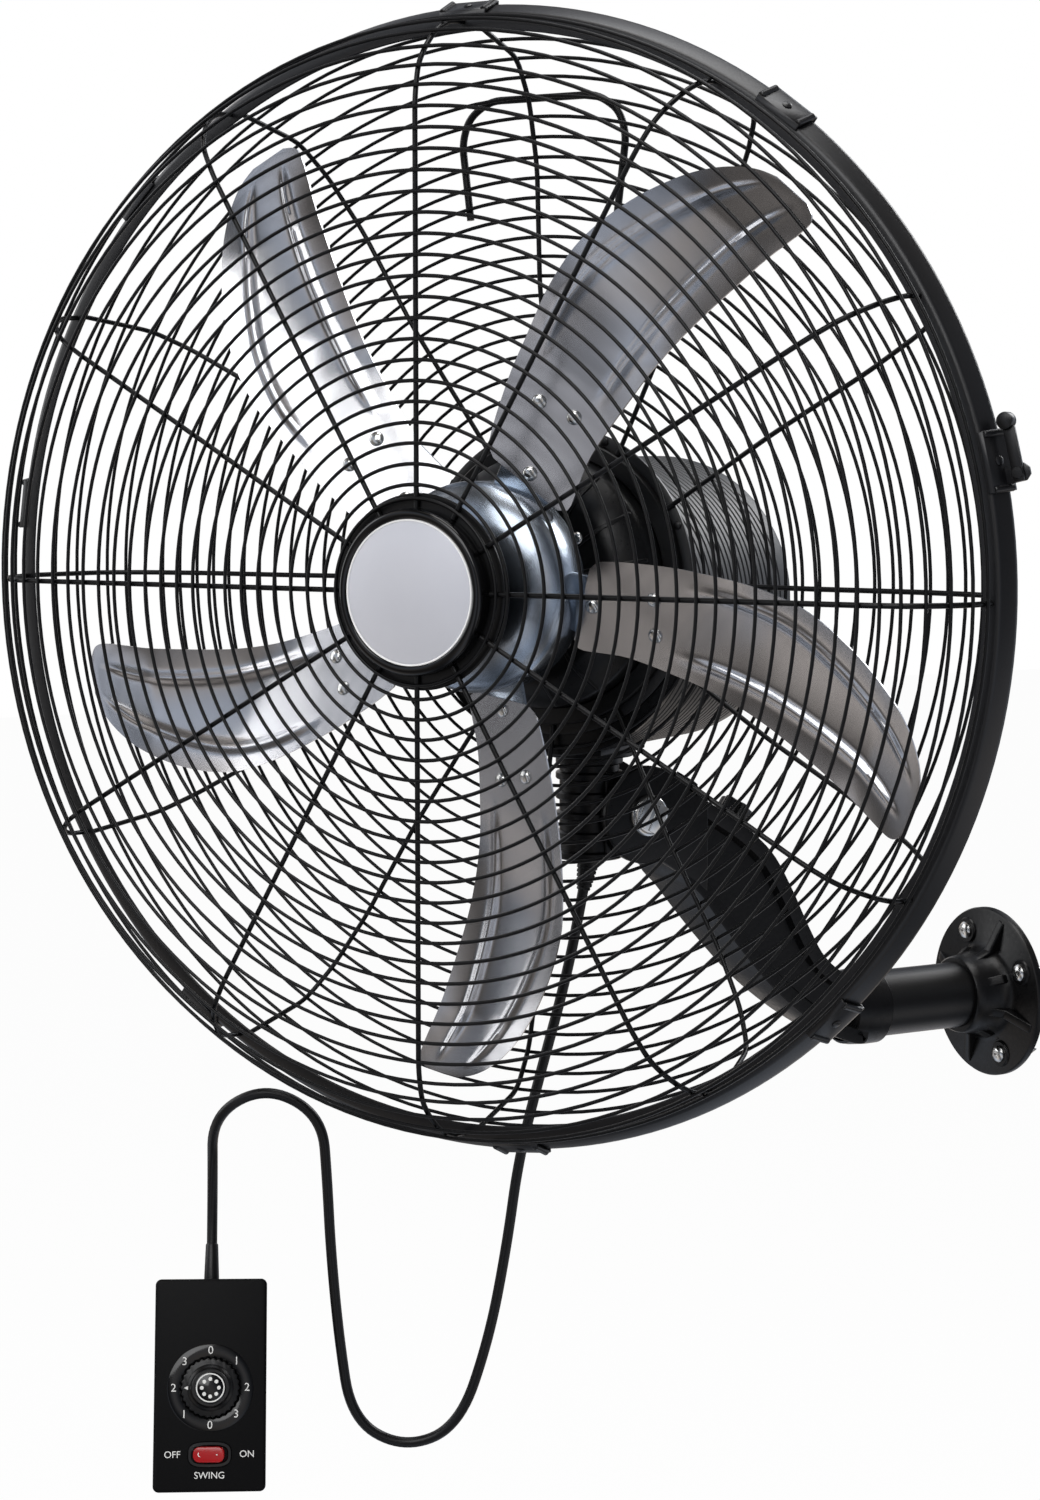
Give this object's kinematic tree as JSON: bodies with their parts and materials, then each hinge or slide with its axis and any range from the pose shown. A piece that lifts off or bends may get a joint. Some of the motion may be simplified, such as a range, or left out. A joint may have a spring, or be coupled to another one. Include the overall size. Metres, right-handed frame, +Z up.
{
  "type": "wall mounted fan",
  "caption": "Wall-mounted oscillating fan with a caged crescent-blade rotor, a tilting and swinging head on a curved arm, and a corded pendant control box.",
  "frame": {"origin": "centre of the wall flange on the wall plane", "axes": "+Z up, the wall is the plane Y = 0 and the fan stands out to -Y, +X on the bolt-head side of the arm"},
  "size_m": [0.6029, 0.6995, 0.9561],
  "materials": {
    "black_paint": "semi-gloss black enamel",
    "black_wire": "gloss black powder coat on wire",
    "black_cast": "satin black paint on a casting",
    "aluminium": "satin rolled aluminium",
    "chrome": "bright zinc or chrome plate",
    "steel": "bare turned steel",
    "copper": "varnished copper winding",
    "black_plastic": "fine-textured black moulding",
    "grey_plastic": "textured dark grey moulding",
    "gloss_black": "glossy black moulding",
    "badge_grey": "pale silver-grey lacquered disc",
    "red_plastic": "glossy red moulding",
    "cord_pvc": "smooth black PVC sheath"
  },
  "bodies": {
    "wall_arm": {"wall_flange": "black_cast", "wall_screws": "chrome", "arm_tube": "black_paint", "arm_casting": "black_cast", "tilt_bolt": "chrome", "tilt_nut": "chrome"},
    "clamp_knob": {"tilt_knob": "black_plastic"},
    "neck": {"neck_housing": "black_cast", "swing_motor": "steel", "neck_relief": "black_plastic", "cord": "cord_pvc", "box_back": "grey_plastic", "box_front": "grey_plastic", "box_relief": "black_plastic", "dial_plate": "black_plastic", "speed_switch": "black_plastic", "rocker_frame": "gloss_black", "box_screws": "steel"},
    "speed_dial": {"speed_knob": "black_plastic", "knob_cap": "gloss_black"},
    "rocker": {"swing_rocker": "red_plastic"},
    "head": {"pan_saddle": "black_cast", "motor_shell": "black_paint", "motor_front_cover": "black_cast", "cover_screws": "chrome", "stator_core": "steel", "stator_windings": "copper", "bearings": "steel", "front_spokes": "black_wire", "front_rings": "black_wire", "front_side_rings": "black_wire", "rear_spokes": "black_wire", "rear_rings": "black_wire", "rear_side_rings": "black_wire", "guard_ring": "black_paint", "rim_band": "black_paint", "rim_clips": "black_paint", "latch_plate": "black_paint", "badge_bezel": "gloss_black", "badge_disc": "badge_grey", "badge_backplate": "black_paint", "carry_handle": "black_wire"},
    "latch": {"latch_lever": "black_plastic"},
    "rotor": {"rotor_shaft": "steel", "rotor_core": "steel", "hub_spider": "aluminium", "blades": "aluminium", "blade_rivets": "steel", "hub_nut": "steel"}
  },
  "joints": [
    {"name": "tilt", "type": "hinge", "parent": "wall_arm", "child": "neck", "pos_m": [0, -0.3043, 0.1482], "axis": [1, 0, 0], "range_deg": [-10, 20]},
    {"name": "clamp_turn", "type": "hinge", "parent": "wall_arm", "child": "clamp_knob", "pos_m": [0, -0.226, 0.1336], "axis": [0, 0.5832, 0.8123], "range_deg": [-180, 180]},
    {"name": "swing", "type": "hinge", "parent": "neck", "child": "head", "pos_m": [0, -0.3314, 0.2], "axis": [0, 0, 1], "range_deg": [-77, 13]},
    {"name": "fan_spin", "type": "hinge", "parent": "head", "child": "rotor", "pos_m": [0.00836, -0.34481, 0.3019], "axis": [0.529, -0.8486, 0], "continuous": true},
    {"name": "speed_turn", "type": "hinge", "parent": "neck", "child": "speed_dial", "pos_m": [-0.10229, -0.56031, -0.23255], "axis": [0.8768, -0.3614, 0.3173], "continuous": true},
    {"name": "swing_rock", "type": "hinge", "parent": "neck", "child": "rocker", "pos_m": [-0.09532, -0.56424, -0.27522], "axis": [-0.2846, 0.1419, 0.9481], "range_deg": [0, 16]},
    {"name": "latch_turn", "type": "hinge", "parent": "head", "child": "latch", "pos_m": [0.37397, -0.2795, 0.37268], "axis": [0.529, -0.8486, 0], "range_deg": [-100, 0]}
  ]
}
